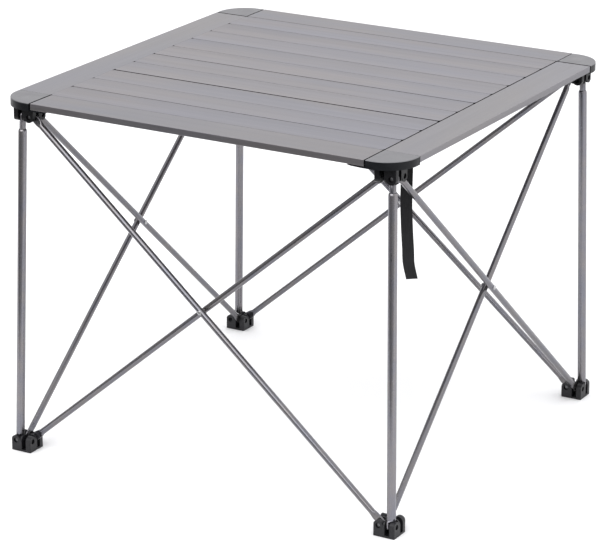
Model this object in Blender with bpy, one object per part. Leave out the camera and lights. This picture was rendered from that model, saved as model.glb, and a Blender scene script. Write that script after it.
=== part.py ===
"""Folding camp table: a square slatted aluminium top on a collapsible scissor frame.

Metres, +Z up. The origin is on the floor, under the middle of the table. +X runs to the right along
the front edge and -Y is the front. The frame repeats every quarter turn about the vertical axis:
each corner has a foot block, a head block and a telescopic leg, and each side has two crossed bars.
"""

import math

import bmesh
import bpy
from mathutils import Matrix, Vector

MM = 0.001

# ---- tabletop ------------------------------------------------------------------------------------
TOP_SIZE = 700 * MM  # square tabletop, edge to edge
TOP_HEIGHT = 580 * MM  # floor to top surface
STRIPS = 12  # front rail, ten slats, back rail
STRIP = TOP_SIZE / STRIPS  # width of each strip, and of the side rails and corner caps
RAIL_THICK = 10 * MM
SLAT_THICK = 7.5 * MM
WALL = 1.2 * MM  # wall of the hollow rails and slats
LEDGE = 9 * MM  # lip of a side rail that the slats lie on
LEDGE_THICK = 2 * MM
CAP_RADIUS = 50 * MM  # round outer corner of a corner cap
CAP_DEEP = 12.8 * MM
CAP_PLATE = 3 * MM
CAP_WALL = 3 * MM
LIP_REACH = 30 * MM  # shelf of a corner cap, under the end of the front or back rail
GAP = 0.3 * MM

# ---- frame ---------------------------------------------------------------------------------------
HEAD_CENTRE = 315 * MM  # middle of a head block, from the middle of the table, in X and in Y
FOOT_CENTRE = 328 * MM  # middle of a foot block: the frame is a little wider at the floor
BLOCK = 36 * MM
BLOCK_HIGH = 25.3 * MM
BLOCK_BASE = 3.2 * MM
HEAD_TOP = TOP_HEIGHT - 12 * MM
SLOT = 8 * MM
SLOT_DEEP = 16.6 * MM
SLOT_OFF = 0.15 * BLOCK  # plane of a slot, from the middle of the block
PIN_OFF = 0.27 * BLOCK  # pin of a slot, from the middle of the block
PIN_HIGH = 17 * MM  # pin above the block's flat base
EAR_RADIUS = BLOCK_HIGH - PIN_HIGH
PIN_R = 2.0 * MM
PIN_HOLE_R = 2.35 * MM
HEAD_R = 3.5 * MM
RECESS_R = 4.1 * MM
RECESS_DEEP = 3.6 * MM
LEG_OFF = 7.7 * MM  # leg's axis, from the middle of the block, in X and in Y
OUTER_R = 6.9 * MM
OUTER_BORE = 6.45 * MM
INNER_R = 5.1 * MM  # neck of the inner tube, which shows under the head block
INNER_LOW_R = 4.4 * MM  # the rest of it is thinner, so that the leg has play as it slides and leans
INNER_LOW_BORE = 3.5 * MM
INNER_BORE = 4.1 * MM
MOUTH_BELOW_PIN = 22.5 * MM  # mouth of the outer tube under the head block's pin
INNER_LONG = 360 * MM  # inner tube, from its pin to its lower end
BAR_R = 4.9 * MM
BAR_BORE = 4.0 * MM
TONGUE_W = 6.6 * MM  # half width of a flattened tube end
TONGUE_T = 1.9 * MM  # half thickness of it
RIVET_R = 2.0 * MM
RIVET_HEAD_R = 3.8 * MM

# ---- strap ---------------------------------------------------------------------------------------
STRAP_W = 20 * MM
STRAP_T = 1.5 * MM
STRAP_X = 305 * MM
STRAP_Y = -246 * MM
STRAP_TAB = 24 * MM
STRAP_LOW = 374 * MM
# How far the hanging strap has drifted to the right, by height, in millimetres.
STRAP_DRIFT = ((640, 0.0), (568, 0.0), (493, -0.7), (458, 1.2), (420, 4.2), (398, 5.2), (374, 10.4), (350, 16.0))

HALF = TOP_SIZE / 2
INNER = HALF - STRIP
HEAD_BASE = HEAD_TOP  # a head block hangs upside down from this height
FOOT_PIN_Z = PIN_HIGH
HEAD_PIN_Z = HEAD_TOP - PIN_HIGH


def clear_scene():
    for obj in list(bpy.data.objects):
        bpy.data.objects.remove(obj, do_unlink=True)


def material(name, colour, rough, metal):
    mat = bpy.data.materials.new(name)
    mat.use_nodes = True
    shader = mat.node_tree.nodes["Principled BSDF"]
    shader.inputs["Base Color"].default_value = (*colour, 1.0)
    shader.inputs["Roughness"].default_value = rough
    shader.inputs["Metallic"].default_value = metal
    mat.diffuse_color = (*colour, 1.0)
    return mat


def new_object(name, mesh, hidden=False):
    obj = bpy.data.objects.new(name, mesh)
    bpy.context.scene.collection.objects.link(obj)
    if hidden:
        obj.hide_render = True
        obj.display_type = "WIRE"
    return obj


def mesh_of(bm, name):
    bmesh.ops.recalc_face_normals(bm, faces=bm.faces[:])
    mesh = bpy.data.meshes.new(name)
    bm.to_mesh(mesh)
    bm.free()
    return mesh


def box_mesh(name, low, high, bevel=0.0, which=None):
    """A box between two corners; bevel rounds the edges that the function `which` picks."""
    bm = bmesh.new()
    bmesh.ops.create_cube(bm, size=1.0)
    size = [high[i] - low[i] for i in range(3)]
    mid = [(high[i] + low[i]) / 2 for i in range(3)]
    bmesh.ops.scale(bm, vec=size, verts=bm.verts)
    bmesh.ops.translate(bm, vec=mid, verts=bm.verts)
    if bevel:
        edges = [e for e in bm.edges if which is None or which(e)]
        bmesh.ops.bevel(bm, geom=edges, offset=bevel, segments=2, profile=0.5, affect="EDGES")
    return mesh_of(bm, name)


def prism_mesh(name, outline, z0, z1):
    """An outline in X and Y, extruded between two heights."""
    bm = bmesh.new()
    low = [bm.verts.new((x, y, z0)) for x, y in outline]
    face = bm.faces.new(low)
    made = bmesh.ops.extrude_face_region(bm, geom=[face])
    top = [v for v in made["geom"] if isinstance(v, bmesh.types.BMVert)]
    bmesh.ops.translate(bm, vec=(0, 0, z1 - z0), verts=top)
    return mesh_of(bm, name)


def rod_mesh(name, start, along, length, radius, sides=12):
    """A round rod from a point, along a direction."""
    bm = bmesh.new()
    bmesh.ops.create_cone(
        bm, cap_ends=True, cap_tris=False, segments=sides, radius1=radius, radius2=radius, depth=length
    )
    bmesh.ops.translate(bm, vec=(0, 0, length / 2), verts=bm.verts)
    turn = Vector(along).to_track_quat("Z", "Y").to_matrix().to_4x4()
    bmesh.ops.transform(bm, matrix=Matrix.Translation(Vector(start)) @ turn, verts=bm.verts)
    return mesh_of(bm, name)


def turned_mesh(name, start, along, profile, sides=14):
    """A turned solid on an axis: the profile is a list of (distance, radius)."""
    bm = bmesh.new()
    rings = []
    for dist, rad in profile:
        rings.append(
            [
                bm.verts.new((rad * math.cos(2 * math.pi * i / sides), rad * math.sin(2 * math.pi * i / sides), dist))
                for i in range(sides)
            ]
        )
    for a, b in zip(rings, rings[1:]):
        for i in range(sides):
            j = (i + 1) % sides
            bm.faces.new((a[i], a[j], b[j], b[i]))
    bm.faces.new(rings[0][::-1])
    bm.faces.new(rings[-1])
    turn = Vector(along).to_track_quat("Z", "Y").to_matrix().to_4x4()
    bmesh.ops.transform(bm, matrix=Matrix.Translation(Vector(start)) @ turn, verts=bm.verts)
    return mesh_of(bm, name)


def combine(mesh, others, operation):
    """The mesh with each of the others cut from it or joined to it."""
    base = new_object("base", mesh, hidden=True)
    tools = []
    for i, other in enumerate(others):
        tool = new_object("tool", other, hidden=True)
        tools.append(tool)
        mod = base.modifiers.new("cut_%d" % i, "BOOLEAN")
        mod.operation = operation
        mod.object = tool
        mod.solver = "EXACT"
    bpy.context.view_layer.update()
    graph = bpy.context.evaluated_depsgraph_get()
    result = bpy.data.meshes.new_from_object(base.evaluated_get(graph))
    for obj in tools + [base]:
        bpy.data.objects.remove(obj, do_unlink=True)
    bm = bmesh.new()
    bm.from_mesh(result)
    bmesh.ops.remove_doubles(bm, verts=bm.verts, dist=0.000001)
    bmesh.ops.dissolve_limit(bm, angle_limit=math.radians(0.3), verts=bm.verts, edges=bm.edges)
    return mesh_of(bm, mesh.name)


def finish(name, mesh, mat, matrix=None, smooth=35):
    mesh.name = name
    mesh.materials.clear()
    mesh.materials.append(mat)
    mesh.shade_smooth()
    mesh.set_sharp_from_angle(angle=math.radians(smooth))
    obj = new_object(name, mesh)
    if matrix is not None:
        obj.matrix_world = matrix
    return obj


# ---- tabletop ------------------------------------------------------------------------------------
def hollow_strip(name, x0, x1, y0, y1, z0, z1, along, round_edge, ledge=None):
    """A flat hollow extrusion, open at both ends along X or Y."""
    pick = 0 if along == "X" else 1

    def top_edges(edge):
        a, b = edge.verts[0].co, edge.verts[1].co
        return abs(a[pick] - b[pick]) > 0.01 and min(a.z, b.z) > (z0 + z1) / 2

    body = box_mesh(name, (x0, y0, z0), (x1, y1, z1), round_edge, top_edges)
    if ledge is not None:
        body = combine(body, [box_mesh("ledge", *ledge)], "UNION")
    low = [x0 + WALL, y0 + WALL, z0 + WALL]
    high = [x1 - WALL, y1 - WALL, z1 - WALL]
    low[pick] = (x0, y0)[pick] - 5 * MM
    high[pick] = (x1, y1)[pick] + 5 * MM
    return combine(body, [box_mesh("bore", low, high)], "DIFFERENCE")


def cap_outline(inset, sx, sy):
    """A corner cap from above: a square with one large round corner, drawn for the corner (sx, sy)."""
    near = INNER + GAP + inset
    far = HALF - inset
    rad = CAP_RADIUS - inset
    mid = HALF - CAP_RADIUS
    points = [(near, near), (far, near)]
    steps = 10
    for i in range(steps + 1):
        t = math.pi / 2 * i / steps
        points.append((mid + rad * math.cos(t), mid + rad * math.sin(t)))
    points.append((near, far))
    points = [(sx * x, sy * y) for x, y in points]
    return points if sx * sy > 0 else points[::-1]


def corner_cap(name, sx, sy):
    z_low, z_high = TOP_HEIGHT - CAP_DEEP, TOP_HEIGHT
    body = prism_mesh(name, cap_outline(0, sx, sy), z_low, z_high)
    bm = bmesh.new()
    bm.from_mesh(body)
    rim = [e for e in bm.edges if min(v.co.z for v in e.verts) > z_high - 0.0001]
    bmesh.ops.bevel(bm, geom=rim, offset=0.9 * MM, segments=2, profile=0.5, affect="EDGES")
    body = mesh_of(bm, name)
    pocket = prism_mesh("pocket", cap_outline(CAP_WALL, sx, sy), z_low - 5 * MM, z_high - CAP_PLATE)

    def block(x0, x1, y0, y1, z0, z1, label):
        xs, ys = sorted((sx * x0, sx * x1)), sorted((sy * y0, sy * y1))
        return box_mesh(label, (xs[0], ys[0], z0), (xs[1], ys[1], z1))

    # The two inner walls stop above the head blocks, which slide past under them.
    under = z_low - 5 * MM, HEAD_TOP + GAP
    near = INNER - 5 * MM
    stop = INNER + GAP + CAP_WALL + 1 * MM
    trim_a = block(near, stop, near, HALF - CAP_WALL - 0.4 * MM, *under, "trim")
    trim_b = block(near, HALF - CAP_WALL - 0.4 * MM, near, stop, *under, "trim")
    body = combine(body, [pocket, trim_a, trim_b], "DIFFERENCE")
    rib_z = HEAD_TOP + GAP, z_high - CAP_PLATE + 1 * MM
    arm = 21 * MM
    c = HEAD_CENTRE
    rib_a = block(INNER + 1.5 * MM, c + arm, c - 1 * MM, c + 1 * MM, *rib_z, "rib")
    rib_b = block(c - 1.2 * MM, c + 1.2 * MM, INNER + 1.5 * MM, c + arm, *rib_z, "rib")
    shelf = block(
        INNER - LIP_REACH, INNER + 3.4 * MM, HALF - 15.5 * MM, HALF - CAP_WALL + 0.7 * MM,
        TOP_HEIGHT - RAIL_THICK - 3.6 * MM, TOP_HEIGHT - RAIL_THICK - GAP, "shelf",
    )  # fmt: skip
    # A short neck ties the shelf to the cap's outer wall.
    neck = block(
        INNER + 1.0 * MM, INNER + 9 * MM, HALF - 6 * MM, HALF - CAP_WALL + 0.9 * MM,
        TOP_HEIGHT - RAIL_THICK - 2.4 * MM, TOP_HEIGHT - RAIL_THICK + 3 * MM, "neck",
    )  # fmt: skip
    return combine(body, [rib_a, rib_b, shelf, neck], "UNION")


def build_tabletop(mats):
    z_top = TOP_HEIGHT
    alu, cap_mat = mats["rail"], mats["cap"]
    # Side rails run front to back between the corner caps.
    for name, s in (("left_rail", -1), ("right_rail", 1)):
        xs = sorted((s * INNER, s * HALF))
        ledge_x = sorted((s * (INNER - LEDGE), s * (INNER + 3 * MM)))
        ends = -INNER, INNER
        mesh = hollow_strip(
            name, xs[0], xs[1], *ends, z_top - RAIL_THICK, z_top, "Y", 0.8 * MM,
            ledge=((ledge_x[0], ends[0], z_top - RAIL_THICK), (ledge_x[1], ends[1], z_top - RAIL_THICK + LEDGE_THICK)),
        )  # fmt: skip
        finish(name, mesh, alu)
    # The front and back rails and the slats run left to right.
    for i in range(STRIPS):
        y0 = -HALF + i * STRIP + (0 if i == 0 else GAP / 2)
        y1 = -HALF + (i + 1) * STRIP - (0 if i == STRIPS - 1 else GAP / 2)
        end = INNER - GAP
        if i in (0, STRIPS - 1):
            name = "front_rail" if i == 0 else "back_rail"
            mesh = hollow_strip(name, -end, end, y0, y1, z_top - RAIL_THICK, z_top, "X", 0.8 * MM)
            finish(name, mesh, alu)
        else:
            name = "slat_%02d" % i
            mesh = hollow_strip(name, -end, end, y0, y1, z_top - SLAT_THICK, z_top, "X", 0.5 * MM)
            finish(name, mesh, mats["slat"])
    for name, sx, sy in (
        ("cap_front_left", -1, -1),
        ("cap_front_right", 1, -1),
        ("cap_back_right", 1, 1),
        ("cap_back_left", -1, 1),
    ):
        finish(name, corner_cap(name, sx, sy), cap_mat, smooth=28)


# ---- frame ---------------------------------------------------------------------------------------
SIDES = {"front": (0, -1), "right": (1, 0), "back": (0, 1), "left": (-1, 0)}


def slot_frame(side, hand):
    """Open direction, pin head direction and pin point (in X and Y) of a block's slot.

    hand is 1 on a foot block and -1 on a head block, which is the mirror image of it.
    """
    d = Vector(SIDES[side])
    h = Vector((-d.y, d.x)) * hand
    return d, h, d * PIN_OFF + h * SLOT_OFF


def hinge_block(name, hand, leg_side, bar_sides):
    """A foot block about its own middle, base at z = 0. A head block is turned over by the caller's hand."""
    half = BLOCK / 2

    def upright(edge):
        return abs(edge.verts[0].co.z - edge.verts[1].co.z) > 0.005

    over = 1 * MM  # the rough body is a little too wide, and is trimmed to the outline after the ears
    body = box_mesh(name, (-half - over, -half - over, -over), (half + over, half + over, PIN_HIGH + 0.6 * MM))
    outline = box_mesh("outline", (-half, -half, 0), (half, half, BLOCK_HIGH + 1 * MM), 1.6 * MM, upright)
    ears, cuts, pins = [], [], []
    for side in SIDES:
        d, h, p = slot_frame(side, hand)
        # An ear's round top: a rod across the slot, from the face to just past the middle.
        start = Vector((*(d * (half - EAR_RADIUS) + h * (half + 2 * over)), PIN_HIGH))
        ears.append(rod_mesh("ear", start, (-h.x, -h.y, 0), half + 2 * over + 1.3 * MM, EAR_RADIUS, 14))
        a = d * (half + 2 * MM) + h * (SLOT_OFF + SLOT / 2)
        b = d * (half - SLOT_DEEP) + h * (SLOT_OFF - SLOT / 2)
        xs, ys = sorted((a.x, b.x)), sorted((a.y, b.y))
        cuts.append(box_mesh("slot", (xs[0], ys[0], BLOCK_BASE), (xs[1], ys[1], BLOCK_HIGH + 3 * MM)))
        reach = half - RECESS_DEEP
        recess = Vector((*(d * PIN_OFF + h * reach), PIN_HIGH))
        cuts.append(rod_mesh("recess", recess, (h.x, h.y, 0), RECESS_DEEP + 2 * MM, RECESS_R, 10))
        if side in bar_sides:
            low = Vector((*(d * PIN_OFF - h * 0.5 * MM), PIN_HIGH))
            pins.append(rod_mesh("pin", low, (h.x, h.y, 0), reach + 0.5 * MM + 1 * MM, PIN_R, 8))
            top = Vector((*(d * PIN_OFF + h * (reach - 0.6 * MM)), PIN_HIGH))
            profile = [(0, HEAD_R), (1.1 * MM, HEAD_R), (1.6 * MM, HEAD_R * 0.6)]
            pins.append(turned_mesh("head", top, (h.x, h.y, 0), profile, 8))
        else:
            low = Vector((*(d * PIN_OFF - h * 0.8 * MM), PIN_HIGH))
            cuts.append(rod_mesh("hole", low, (h.x, h.y, 0), reach + 2 * MM, PIN_HOLE_R, 8))
    body = combine(body, ears, "UNION")
    body = combine(body, [outline], "INTERSECT")
    body = combine(body, cuts, "DIFFERENCE")
    body = combine(body, pins, "UNION")
    return body


def leg_pin_mesh(name, hand, side):
    """The leg's pin in its slot, in the same frame as the block."""
    d, h, p = slot_frame(side, hand)
    reach = BLOCK / 2 - RECESS_DEEP
    low = Vector((*(d * PIN_OFF - h * 0.5 * MM), PIN_HIGH))
    long = reach + 0.5 * MM + GAP
    profile = [(0, PIN_R), (long, PIN_R), (long, HEAD_R), (long + 0.5 * MM, HEAD_R), (long + 1.0 * MM, HEAD_R * 0.6)]
    return turned_mesh(name, low, (h.x, h.y, 0), profile, 8)


def flat_section(half_w, half_t, sides, power):
    """Points of a rounded section, round at power 2 and flat at higher powers."""
    points = []
    for i in range(sides):
        t = 2 * math.pi * (i + 0.5) / sides
        c, s = math.cos(t), math.sin(t)
        k = 2.0 / power
        points.append((half_w * math.copysign(abs(c) ** k, c), half_t * math.copysign(abs(s) ** k, s)))
    return points


def tube_mesh(name, outside, inside, sides=10):
    """A hollow tube along Z, open at both ends. A station is (z, half width, half thickness, power, x, y):
    the width is along X and the thickness along Y, about the middle (x, y). Both lists run the same way."""
    bm = bmesh.new()
    skins = []
    for stations in (outside, inside):
        rings = []
        for z, w, t, power, mid_x, mid_y in stations:
            rings.append([bm.verts.new((x + mid_x, y + mid_y, z)) for x, y in flat_section(w, t, sides, power)])
        skins.append(rings)
        for a, b in zip(rings, rings[1:]):
            for i in range(sides):
                j = (i + 1) % sides
                bm.faces.new((a[i], a[j], b[j], b[i]))
    for end in (0, -1):
        o, n = skins[0][end], skins[1][end]
        for i in range(sides):
            j = (i + 1) % sides
            bm.faces.new((o[i], o[j], n[j], n[i]))
    return mesh_of(bm, name)


def flat_end(pin_z, way, radius, bore, shift=(0.0, 0.0), clear=13.0, blend=9.0):
    """Outer and inner stations of a flattened end, from its tip towards the round tube. way is 1 if the
    tube goes up from the pin and -1 if it goes down; distances from the pin are in millimetres. shift is
    the flat part's offset from the tube's axis."""
    sx, sy = shift
    w, t = TONGUE_W, TONGUE_T
    iw, it = w - 0.9 * MM, 0.45 * MM
    outside, inside = [], []
    for dist, part in ((-6.4, 0.42), (-4.3, 0.84), (0.0, 1.0), (clear, 1.0)):
        outside.append((pin_z + way * dist * MM, w * part, t, 4.0, sx, sy))
        if dist in (-6.4, clear):
            inside.append((pin_z + way * dist * MM, iw * part * 0.95, it, 4.0, sx, sy))
    for k in (0.5, 1.0):
        u = k * k * (3 - 2 * k)
        z = pin_z + way * (clear + blend * k) * MM
        mid = sx * (1 - u), sy * (1 - u)
        outside.append((z, w + (radius - w) * u, t + (radius - t) * u, 4.0 - 2.0 * u, *mid))
        inside.append((z, iw + (bore - iw) * u, it + (bore - it) * u, 4.0 - 2.0 * u, *mid))
    return outside, inside


def bar_mesh(name, length, crossing):
    """A scissor bar along Z, pins at z = 0 and z = length, with a rivet hole at the crossing."""
    low = flat_end(0.0, 1, BAR_R, BAR_BORE)
    high = flat_end(length, -1, BAR_R, BAR_BORE)
    body = tube_mesh(name, low[0] + high[0][::-1], low[1] + high[1][::-1], 10)
    holes = [
        rod_mesh("hole", (0, -20 * MM, z), (0, 1, 0), 40 * MM, PIN_HOLE_R, 8) for z in (0.0, crossing, length)
    ]
    return combine(body, holes, "DIFFERENCE")


def bar_matrix(foot, head):
    """Places a bar with its pins at two points: its Z runs from foot to head, its Y is level."""
    z = (head - foot).normalized()
    y = Vector((0, 0, 1)).cross(Vector((z.x, z.y, 0))).normalized()
    x = y.cross(z)
    turn = Matrix((x, y, z)).transposed().to_4x4()
    return Matrix.Translation(foot) @ turn


def quarter(k):
    return Matrix.Rotation(k * math.pi / 2, 4, "Z")


def pin_point(hand, side, sx, sy):
    """World point of a slot's pin axis, in the slot's own plane, at the corner (sx, sy)."""
    d, h, p = slot_frame(side, hand)
    centre = FOOT_CENTRE if hand == 1 else HEAD_CENTRE
    z = FOOT_PIN_Z if hand == 1 else HEAD_PIN_Z
    return Vector((sx * centre + p.x, sy * centre + p.y, z))


def build_frame(mats):
    corners = ["front_left", "front_right", "back_right", "back_left"]
    # Foot block of the front left corner, and head block above it; the others are quarter turns of them.
    foot_block = hinge_block("foot_block", 1, "left", ("right", "back"))
    head_block = hinge_block("head_block", -1, "front", ("right", "back"))
    foot_at = Matrix.Translation((-FOOT_CENTRE, -FOOT_CENTRE, 0))
    # The head block is mirrored in Z: the mesh itself is turned over, so that no object is mirrored.
    for mesh in (head_block,):
        mesh.transform(Matrix.Scale(-1, 4, (0, 0, 1)))
        mesh.flip_normals()
    head_at = Matrix.Translation((-HEAD_CENTRE, -HEAD_CENTRE, HEAD_BASE))
    foot_pin = leg_pin_mesh("foot_pin", 1, "left")
    head_pin = leg_pin_mesh("head_pin", -1, "front")
    head_pin.transform(Matrix.Scale(-1, 4, (0, 0, 1)))
    head_pin.flip_normals()

    # Bars of the front side. The outer bar runs from the right foot to the left head, and the inner
    # bar from the left foot to the right head; each lies in a vertical plane.
    outer_foot, outer_head = pin_point(1, "left", 1, -1), pin_point(-1, "right", -1, -1)
    inner_foot, inner_head = pin_point(1, "right", -1, -1), pin_point(-1, "left", 1, -1)
    length = (outer_head - outer_foot).length
    crossing = length * abs(outer_foot.x) / (abs(outer_foot.x) + abs(outer_head.x))
    bar = bar_mesh("scissor_bar", length, crossing)
    outer_at, inner_at = bar_matrix(outer_foot, outer_head), bar_matrix(inner_foot, inner_head)
    cross_outer = outer_at @ Vector((0, 0, crossing))
    cross_inner = inner_at @ Vector((0, 0, crossing))
    across = (cross_inner - cross_outer).normalized()
    spread = (cross_inner - cross_outer).length
    head = BAR_R + 0.35 * MM
    rivet_profile = [
        (-head - 1.5 * MM, RIVET_HEAD_R * 0.6), (-head, RIVET_HEAD_R), (-head, RIVET_R),
        (spread + head, RIVET_R), (spread + head, RIVET_HEAD_R), (spread + head + 1.5 * MM, RIVET_HEAD_R * 0.6),
    ]  # fmt: skip
    rivet = turned_mesh("crossing_rivet", cross_outer, across, rivet_profile, 8)

    # Leg of the front left corner: its axis leans inwards from the foot to the head.
    foot_axis = Vector((-FOOT_CENTRE - LEG_OFF, -FOOT_CENTRE - LEG_OFF, FOOT_PIN_Z))
    head_axis = Vector((-HEAD_CENTRE - LEG_OFF, -HEAD_CENTRE - LEG_OFF, HEAD_PIN_Z))
    lean = (head_axis - foot_axis).normalized()
    pins_apart = (head_axis - foot_axis).length
    # Lower end: flat in the left slot, so its thickness is along Y. Upper end: flat in the front slot.
    jog = LEG_OFF - SLOT_OFF
    lower_y = Vector((0, 1, 0)) - lean * lean.y
    lower_y.normalize()
    lower_turn = Matrix((lower_y.cross(lean), lower_y, lean)).transposed().to_4x4()
    lower_at = Matrix.Translation(foot_axis) @ lower_turn
    upper_y = Vector((1, 0, 0)) - lean * lean.x
    upper_y.normalize()
    upper_turn = Matrix((upper_y.cross(lean), upper_y, lean)).transposed().to_4x4()
    upper_at = Matrix.Translation(head_axis) @ upper_turn
    mouth = pins_apart - MOUTH_BELOW_PIN
    pin_shift = PIN_OFF - LEG_OFF  # the pin is a little further out than the leg's axis
    low = flat_end(0.0, 1, OUTER_R, OUTER_BORE, shift=(-pin_shift, jog), clear=8.6, blend=3.4)
    outside = low[0] + [
        (mouth - 0.8 * MM, OUTER_R, OUTER_R, 2.0, 0.0, 0.0),
        (mouth, OUTER_R - 0.2 * MM, OUTER_R - 0.2 * MM, 2.0, 0.0, 0.0),
    ]
    inside = low[1] + [(mouth, OUTER_BORE, OUTER_BORE, 2.0, 0.0, 0.0)]
    outer_tube = tube_mesh("leg_outer", outside, inside, 12)
    hole = rod_mesh("hole", (-pin_shift, -20 * MM, 0), (0, 1, 0), 40 * MM, PIN_HOLE_R, 8)
    outer_tube = combine(outer_tube, [hole], "DIFFERENCE")
    high = flat_end(0.0, -1, INNER_R, INNER_BORE, shift=(pin_shift, jog), clear=8.6, blend=3.4)
    outside = high[0] + [
        (-24.5 * MM, INNER_R, INNER_R, 2.0, 0.0, 0.0),
        (-26.5 * MM, INNER_LOW_R, INNER_LOW_R, 2.0, 0.0, 0.0),
        (-INNER_LONG, INNER_LOW_R, INNER_LOW_R, 2.0, 0.0, 0.0),
    ]
    inside = high[1] + [
        (-26.5 * MM, INNER_LOW_BORE, INNER_LOW_BORE, 2.0, 0.0, 0.0),
        (-INNER_LONG, INNER_LOW_BORE, INNER_LOW_BORE, 2.0, 0.0, 0.0),
    ]
    inner_tube = tube_mesh("leg_inner", outside[::-1], inside[::-1], 12)
    hole = rod_mesh("hole", (pin_shift, -20 * MM, 0), (0, 1, 0), 40 * MM, PIN_HOLE_R, 8)
    inner_tube = combine(inner_tube, [hole], "DIFFERENCE")

    sides = ["front", "right", "back", "left"]
    for k, corner in enumerate(corners):
        turn = quarter(k)
        finish("foot_block_" + corner, foot_block.copy(), mats["block"], turn @ foot_at)
        finish("head_block_" + corner, head_block.copy(), mats["block"], turn @ head_at)
        finish("leg_outer_" + corner, outer_tube.copy(), mats["tube"], turn @ lower_at)
        finish("leg_inner_" + corner, inner_tube.copy(), mats["tube"], turn @ upper_at)
        finish("leg_pin_low_" + corner, foot_pin.copy(), mats["steel"], turn @ foot_at)
        finish("leg_pin_high_" + corner, head_pin.copy(), mats["steel"], turn @ head_at)
        side = sides[k]
        finish("bar_outer_" + side, bar.copy(), mats["tube"], turn @ outer_at)
        finish("bar_inner_" + side, bar.copy(), mats["tube"], turn @ inner_at)
        finish("crossing_rivet_" + side, rivet.copy(), mats["steel"], turn)


# Pin that each block turns about: hand, slot side and corner signs, as in pin_point.
BLOCK_PIVOTS = {
    "foot_block_front_right": (1, "left", 1, -1),
    "foot_block_back_right": (1, "front", 1, 1),
    "foot_block_back_left": (1, "front", -1, 1),
    "head_block_front_left": (-1, "right", -1, -1),
    "head_block_front_right": (-1, "left", 1, -1),
    "head_block_back_right": (-1, "front", 1, 1),
    "head_block_back_left": (-1, "front", -1, 1),
}
# Bars that turn about their upper pin; the front outer bar turns about its rivet, the rest about their lower pin.
HEAD_PIVOT_BARS = {
    "bar_outer_right": (-1, "back", 1, -1),
    "bar_inner_left": (-1, "back", -1, -1),
    "bar_outer_back": (-1, "left", 1, 1),
    "bar_inner_back": (-1, "right", -1, 1),
}


def set_origin(name, point):
    """Moves an object's origin to a point of its joint's axis, and leaves its shape where it is."""
    obj = bpy.data.objects[name]
    at = obj.matrix_basis.copy()
    obj.data.transform(Matrix.Translation(-(at.inverted() @ Vector(point))))
    at.translation = point
    obj.matrix_basis = at


def set_origins():
    for name, where in {**BLOCK_PIVOTS, **HEAD_PIVOT_BARS}.items():
        set_origin(name, pin_point(*where))
    for name, where in BLOCK_PIVOTS.items():
        pin = name.replace("foot_block", "leg_pin_low").replace("head_block", "leg_pin_high")
        set_origin(pin, pin_point(*where))
    foot, head = pin_point(1, "left", 1, -1), pin_point(-1, "right", -1, -1)
    crossing = foot + (head - foot) * (foot.x / (foot.x - head.x))
    set_origin("bar_outer_front", crossing)
    for k, side in enumerate(("front", "right", "back", "left")):
        set_origin("crossing_rivet_" + side, quarter(k) @ crossing)
    for i in range(STRIPS - 1):
        name = "front_rail" if i == 0 else "slat_%02d" % i
        set_origin(name, (0, -HALF + (i + 1) * STRIP, TOP_HEIGHT))


# ---- strap ---------------------------------------------------------------------------------------
def strap_drift(z):
    """Sideways place of the strap at a height: a smooth curve through STRAP_DRIFT."""
    high = z / MM
    for k in range(1, len(STRAP_DRIFT) - 2):
        (za, a), (zb, b), (zc, c), (zd, d) = STRAP_DRIFT[k - 1 : k + 3]
        if high >= zc:
            t = (zb - high) / (zb - zc)
            ma, mb = (c - a) / (za - zc) * (zb - zc), (d - b) / (zb - zd) * (zb - zc)
            t2, t3 = t * t, t * t * t
            return MM * ((2 * t3 - 3 * t2 + 1) * b + (t3 - 2 * t2 + t) * ma + (3 * t2 - 2 * t3) * c + (t3 - t2) * mb)
    return MM * STRAP_DRIFT[-2][1]


def strap_path():
    """Middle line of the webbing: flat under the side rail, one bend, then down to its free end."""
    under = TOP_HEIGHT - RAIL_THICK - GAP - STRAP_T / 2
    points = [Vector((STRAP_X, STRAP_Y + STRAP_TAB, under)), Vector((STRAP_X, STRAP_Y + 5 * MM, under))]
    bend = 5 * MM
    for i in range(1, 5):
        t = math.pi / 2 * i / 4
        points.append(Vector((STRAP_X, STRAP_Y + bend - bend * math.sin(t), under - bend + bend * math.cos(t))))
    steps = 18
    top = under - bend
    for i in range(1, steps + 1):
        u = i / steps
        z = top + (STRAP_LOW - top) * u
        wave = 1.6 * MM * math.sin(u * 2 * math.pi * 1.1) * u
        points.append(Vector((STRAP_X + strap_drift(z), STRAP_Y + wave, z)))
    return points


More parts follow.
